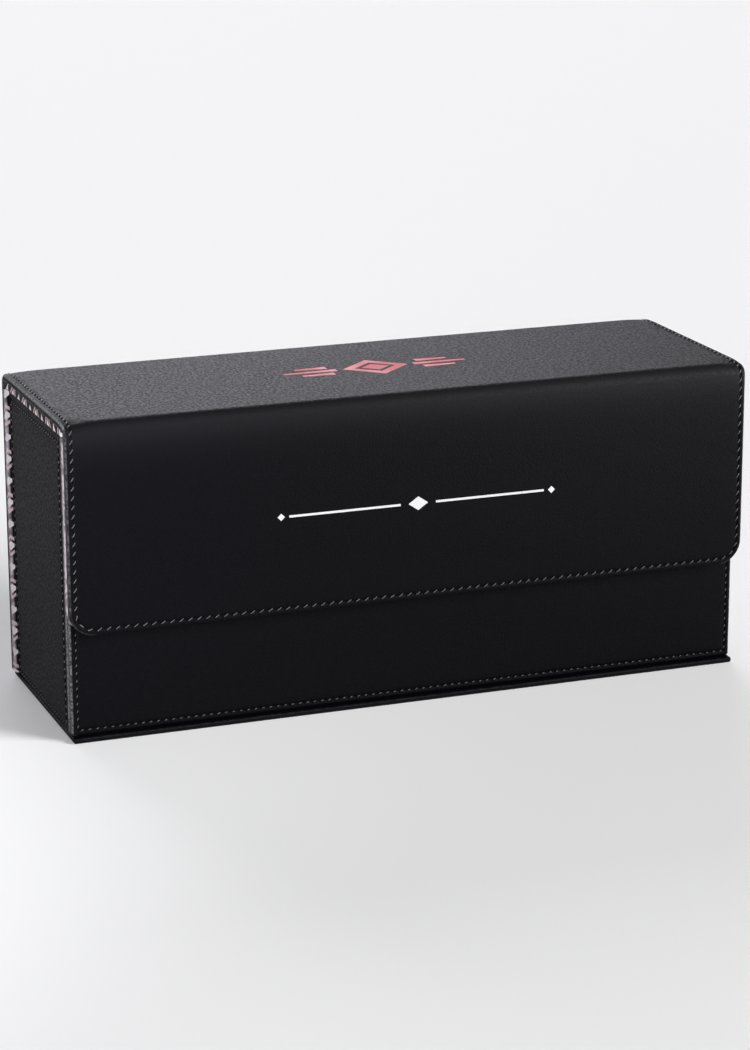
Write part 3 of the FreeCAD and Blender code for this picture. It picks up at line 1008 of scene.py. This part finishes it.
def makeCoverLinings():
    look = liningSheet
    thick = look["coverThick"]
    depth = thick - coverSkin["edgeDepth"]
    boardDepth = thick - foldLining["underSkin"] + foldLining["stripOverlap"]
    # foot of the sheet, across, up, length, rounding at the foot, which ends meet a fold, pale cut edge with
    # painted highlight
    covers = {
        "flap": (
            (0, frontFace + thick, flapLow[2]),
            (-1, 0, 0),
            (0, 0, 1),
            closingHeight - flapLow[2],
            coverSkin["flapCorner"],
            (1,),
            1.0,
        ),
        "lid": (
            (0, lidLow[1], topFace - thick),
            (-1, 0, 0),
            (0, 1, 0),
            lidHigh[1] - lidLow[1],
            look["round"],
            (0, 1),
            0.0,
        ),
        "back": (
            (0, backFace - thick, backLow[2]),
            (1, 0, 0),
            (0, 0, 1),
            closingHeight - backLow[2],
            coverSkin["backCorner"],
            (1,),
            0.7,
        ),
    }
    for name, (foot, across, up, length, corner, folds, bareAndLit) in covers.items():
        lay = flatRoute(foot, across, up)
        sheets = [liningPanel(boxLength, length, corner, look["round"], lay, depth, bareAndLit)]
        sheets += [edgeStrip(lay, length * end, boardDepth) for end in folds]
        piece = thicken(newPiece(name + "Lining", *joinSurfaces(sheets), printedLining), look["thickness"])
        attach(piece, "case" if name == "back" else name)
        finishLining(name + "_lining")


def makeFoldLinings():
    for name, side, node, bend in (
        ("flapFoldLining", -1, "flap_fold_lining", flapBend),
        ("lidFoldLining", 1, "lid_fold_lining", lidBend),
    ):
        piece = thicken(newPiece(name, *foldSheet(side), printedLining), liningSheet["thickness"])
        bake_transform(piece)
        finishLining(node)


def makeWallLinings():
    look = liningSheet
    thick, corner = look["wallThick"], look["wallCorner"]
    depth = thick - coverSkin["edgeDepth"]
    height = wallHigh[2] - wallLow[2]
    endWidth = endHigh[1] - endLow[1]
    # node, foot of the sheet, across, width
    walls = {
        "front": ("front_lining", (0, wallLow[1] + thick, wallLow[2]), (-1, 0, 0), wallHigh[0] - wallLow[0]),
        "left": ("left_end_lining", (endLow[0] + thick, endMiddle, endLow[2]), (0, 1, 0), endWidth),
        "right": ("right_end_lining", (-endLow[0] - thick, endMiddle, endLow[2]), (0, -1, 0), endWidth),
    }
    for name, (node, foot, across, width) in walls.items():
        lay = flatRoute(foot, across, (0, 0, 1))
        panel = liningPanel(width, height, corner, corner, lay, depth, look["wallRubAndGlint"])
        piece = thicken(newPiece(name + "Lining", *panel, plainLining), look["thickness"])
        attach(piece, "case")
        finishLining(node)


def makeFloorLining():
    look = floorSheet
    low, high = nodeBox("floor_lining")
    x, y = np.meshgrid(
        np.linspace(low[0], high[0], look["columns"]),
        np.linspace(low[1], high[1], look["rows"]),
    )
    # the sheet lifts a little towards the ends, as lift (x / half length)^power
    lift = look["lift"] * (np.abs(x) / high[0]) ** look["liftPower"]
    points, faces, uv, _ = asSurface(np.stack([x, y, high[2] + lift], -1), np.stack([x, y], -1))
    floor = thicken(newPiece("floorLining", points, faces, uv, None, plainLining), liningSheet["thickness"])
    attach(floor, "case")
    finishLining("floor_lining")


makeCoverLinings()
makeFoldLinings()
makeWallLinings()
makeFloorLining()
print("lining made")

# Printed ornaments: a lozenge between tapered bars on the lid, a fine rule with a lozenge on the flap
lidPrint = {
    "color": (0.62, 0.085, 0.10, 1),
    "half": 47.0,
    "bar": 4.2,
    "gap": 6.5,
    "space": 3.0,
    "shortBar": 0.72,
    "slope": 0.5,
    "lozenge": (17.0, 15.0),
    "opening": 0.62,
    "heart": 0.42,
}
flapPrint = {
    "color": (0.60, 0.60, 0.595, 1),
    "half": 65.0,
    "bar": 0.55,
    "space": 4.0,
    "lozenge": (5.0, 3.4),
    "endLozenge": 1.8,
    "height": 101.5,
}
printFinish = {
    "lift": 0.05,
    "thickness": 0.05,
    "dim": 0.86,
    "rough": (0.0, 1.0, 0.5, 0.62),
    "bump": 0.12,
    "bumpStep": 0.0003,
    "specular": 0.25,
}


def makePrintFinish(name, color):
    look = printFinish
    material, tree, shader = newMaterial(name)
    grain = grainOn(tree, leatherLook)
    dim = tuple(look["dim"] * c for c in color[:3]) + (1,)
    sockets = {
        "Base Color": mixColor(tree, grain["Tone"], dim, color),
        "Roughness": smoothStep(tree, grain["Slow"], *look["rough"]),
        "Normal": bumped(tree, look["bump"], look["bumpStep"], grain["Height"]),
        "Specular IOR Level": look["specular"],
    }
    feedAll(tree, shader, sockets)
    return material


def barSheet(side, x0, x1, half0, half1, middle=0.0, columns=24, rows=3):
    # a bar that tapers from half0 to half1, on the right (1) or mirrored to the left (-1)
    t = np.linspace(0, 1, columns)
    u = np.linspace(-1, 1, rows)
    a = np.broadcast_to((x0 + (x1 - x0) * t)[None], (rows, columns))
    s = middle + u[:, None] * (half0 + (half1 - half0) * t)[None]
    return side * a, s if side > 0 else s[::-1]


def lozengeSheet(centre, halfWide, halfHigh, opening=0.0, rings=5, rays=33):
    # rings of a lozenge |a| / w + |s| / h = r, from r = 1 to the opening
    turn = np.linspace(0, 2 * np.pi, rays)
    ray = np.abs(np.cos(turn)) + np.abs(np.sin(turn))
    r = np.linspace(1, opening, rings)[:, None]
    a = centre + r * halfWide * (np.cos(turn) / ray)[None]
    return a, r * halfHigh * (np.sin(turn) / ray)[None]


def makeOrnament(name, body, parts, lay, finish):
    sheets = [asSurface(lay(a, s), np.stack([a, s], -1)) for a, s in parts]
    piece = thicken(newPiece(name, *joinSurfaces(sheets), finish), printFinish["thickness"])
    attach(piece, body)


def makeLidOrnament():
    look = lidPrint
    wide, high = look["lozenge"]
    heart, gap, bar, short = look["heart"], look["gap"], look["bar"], look["shortBar"]
    parts = [lozengeSheet(0, wide, high, look["opening"]), lozengeSheet(0, wide * heart, high * heart)]
    start = wide + look["space"]
    for side in (-1, 1):
        for offset, share in ((-gap, short), (0, 1.0), (gap, short)):
            stop = start + (look["half"] - start) * share
            inner = start + look["slope"] * abs(offset)
            parts.append(barSheet(side, inner, stop, bar / 2, bar / 4, offset))
    level = topFace + coverSkin["crown"] + printFinish["lift"]
    makeOrnament(
        "lidOrnament",
        "lid",
        parts,
        lambda a, s: np.stack([a, s, np.full(a.shape, level)], -1),
        makePrintFinish("coralPrint", look["color"]),
    )


def makeFlapOrnament():
    look = flapPrint
    wide, high = look["lozenge"]
    parts = [lozengeSheet(0, wide, high)]
    for side in (-1, 1):
        parts.append(barSheet(side, wide + look["space"], look["half"], look["bar"], look["bar"]))
        end = side * (look["half"] + look["space"])
        parts.append(lozengeSheet(end, look["endLozenge"], look["endLozenge"]))
    level = frontFace - coverSkin["crown"] - printFinish["lift"]
    makeOrnament(
        "flapOrnament",
        "flap",
        parts,
        lambda a, s: np.stack([a, np.full(a.shape, level), s + look["height"]], -1),
        makePrintFinish("chalkPrint", look["color"]),
    )


makeLidOrnament()
makeFlapOrnament()
print("ornaments made")

# Boards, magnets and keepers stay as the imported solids, with their own finishes
boardLook = {
    "pale": (0.46, 0.42, 0.36, 1),
    "dark": (0.30, 0.27, 0.23, 1),
    "fibreScale": 900.0,
    "fibreRoughness": 0.7,
    "rough": 0.9,
    "bump": 0.2,
    "bumpStep": 0.0002,
}
metalLook = {"brushScale": 1800.0, "brushRange": (0.3, 0.7), "roughSpread": 0.15}
nickel = {"color": (0.62, 0.61, 0.58, 1), "rough": 0.22}
steel = {"color": (0.50, 0.50, 0.52, 1), "rough": 0.34}


def makeBoard():
    look = boardLook
    material, tree, shader = newMaterial("greyboard")
    fibre = noise(tree, objectPlace(tree), look["fibreScale"], detail=5.0, Roughness=look["fibreRoughness"])
    sockets = {
        "Base Color": mixColor(tree, fibre, look["dark"], look["pale"]),
        "Roughness": look["rough"],
        "Normal": bumped(tree, look["bump"], look["bumpStep"], fibre),
    }
    feedAll(tree, shader, sockets)
    return material


def makeMetal(name, look):
    material, tree, shader = newMaterial(name)
    brushed = noise(tree, objectPlace(tree), metalLook["brushScale"], detail=3.0)
    rough = (look["rough"], look["rough"] + metalLook["roughSpread"])
    sockets = {
        "Base Color": look["color"],
        "Metallic": 1.0,
        "Roughness": smoothStep(tree, brushed, *metalLook["brushRange"], *rough),
    }
    feedAll(tree, shader, sockets)
    return material


def dressSolids():
    finishes = {
        "_board": makeBoard(),
        "_magnets": makeMetal("nickelPlate", nickel),
        "_keepers": makeMetal("plainSteel", steel),
    }
    for name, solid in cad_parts.items():
        for ending, finish in finishes.items():
            if name.endswith(ending):
                solid.data.materials.clear()
                solid.data.materials.append(finish)


dressSolids()
print("boards, magnets and keepers finished")

# Studio: pale floor, soft lamps and the camera at the photograph's angle
studio = {
    "floorColor": (0.88, 0.88, 0.88, 1),
    "floorRough": 0.9,
    "floorSpecular": 0.1,
    "floorLift": 0.16,
    "floorHalf": 60000.0,
    "worldLight": 0.16,
}
cameraPlace = {
    "lens": 110.66,
    "sensor": 36.0,
    "yaw": 20.490,
    "pitch": 15.965,
    "roll": -0.160,
    "place": (-0.5376, -1.4380, 0.5143),
    "nearest": 0.05,
    "furthest": 200.0,
}
softBoxes = {
    # name: place, aim, width, height, watts, beam in degrees, colour
    "leftStrip": ((-0.53, -0.52, 0.13), (-0.17, -0.055, 0.125), 0.12, 0.2, 0.27, 44.0, (0.90, 0.91, 1.0)),
    "flapGlow": ((0.60, -0.62, 0.25), (0.17, -0.06, 0.29), 0.12, 0.12, 0.54, 40.0, (1.0, 1.0, 1.0)),
}
suns = {
    # name: direction to the light, strength, spread in degrees, colour
    "key": ((0.72, -0.58, 0.36), 4.1, 30.0, (1.0, 1.0, 1.0)),
    "sheen": ((0.095, 0.97, 0.27), 2.2, 42.0, (0.93, 0.92, 1.0)),
}


def addToScene(name, data):
    holder = bpy.data.objects.new(name, data)
    bpy.context.scene.collection.objects.link(holder)
    return holder


def placed(axes, place):
    # the matrix with those three axes as its columns
    turn = np.eye(4)
    turn[:3, :3] = np.stack(axes, 1)
    turn[:3, 3] = place
    return Matrix(turn.tolist())


def makeFloor():
    material, tree, shader = newMaterial("paleFloor")
    # seen by the camera or in a reflection, the floor is lifted towards white, and its shadows stay
    rays = put(tree, "ShaderNodeLightPath").outputs
    seen = maths(tree, "MAXIMUM", rays["Is Camera Ray"], rays["Is Glossy Ray"])
    seen = maths(tree, "MAXIMUM", seen, rays["Is Transmission Ray"])
    sockets = {
        "Base Color": studio["floorColor"],
        "Roughness": studio["floorRough"],
        "Specular IOR Level": studio["floorSpecular"],
        "Emission Color": (1, 1, 1, 1),
        "Emission Strength": maths(tree, "MULTIPLY", seen, studio["floorLift"]),
    }
    feedAll(tree, shader, sockets)
    size = studio["floorHalf"]
    corners = np.array([[-size, -size, 0], [size, -size, 0], [size, size, 0], [-size, size, 0]])
    floor = newPiece("floor", corners, np.array([[0, 1, 2, 3]]), None, None, material, False)


def makeLight():
    world = bpy.data.worlds.new("studio")
    bpy.context.scene.world = world
    world.use_nodes = True
    sky = world.node_tree.nodes["Background"]
    feedAll(world.node_tree, sky, {"Color": (1, 1, 1, 1), "Strength": studio["worldLight"]})
    for name, (place, aim, width, height, watts, beam, color) in softBoxes.items():
        lamp = bpy.data.lights.new(name, "AREA")
        lamp.shape = "RECTANGLE"
        lamp.size = width
        lamp.size_y = height
        lamp.energy = watts
        lamp.color = color
        lamp.spread = math.radians(beam)
        back = np.array(place) - np.array(aim)
        back = back / np.linalg.norm(back)
        right = np.cross((0, 0, 1), back)
        right = right / np.linalg.norm(right)
        addToScene(name, lamp).matrix_world = placed([right, np.cross(back, right), back], place)
    for name, (direction, strength, spread, color) in suns.items():
        sun = bpy.data.lights.new(name, "SUN")
        sun.energy = strength
        sun.angle = math.radians(spread)
        sun.color = color
        addToScene(name, sun).rotation_euler = Vector(direction).to_track_quat("Z", "Y").to_euler()


def makeCamera():
    look = cameraPlace
    yaw, pitch, roll = [math.radians(look[key]) for key in ("yaw", "pitch", "roll")]
    ahead = np.array([math.sin(yaw) * math.cos(pitch), math.cos(yaw) * math.cos(pitch), -math.sin(pitch)])
    level = np.array([math.cos(yaw), -math.sin(yaw), 0.0])
    upright = np.cross(level, ahead)
    right = level * math.cos(roll) + upright * math.sin(roll)
    up = upright * math.cos(roll) - level * math.sin(roll)
    view = bpy.data.cameras.new("view")
    view.sensor_fit = "AUTO"
    view.sensor_width = look["sensor"]
    view.lens = look["lens"]
    view.clip_start = look["nearest"]
    view.clip_end = look["furthest"]
    camera = addToScene("view", view)
    camera.matrix_world = placed([right, up, -ahead], look["place"])
    bpy.context.scene.camera = camera


bpy.context.scene.view_settings.view_transform = "Standard"
makeFloor()
makeLight()
makeCamera()
print("studio made")
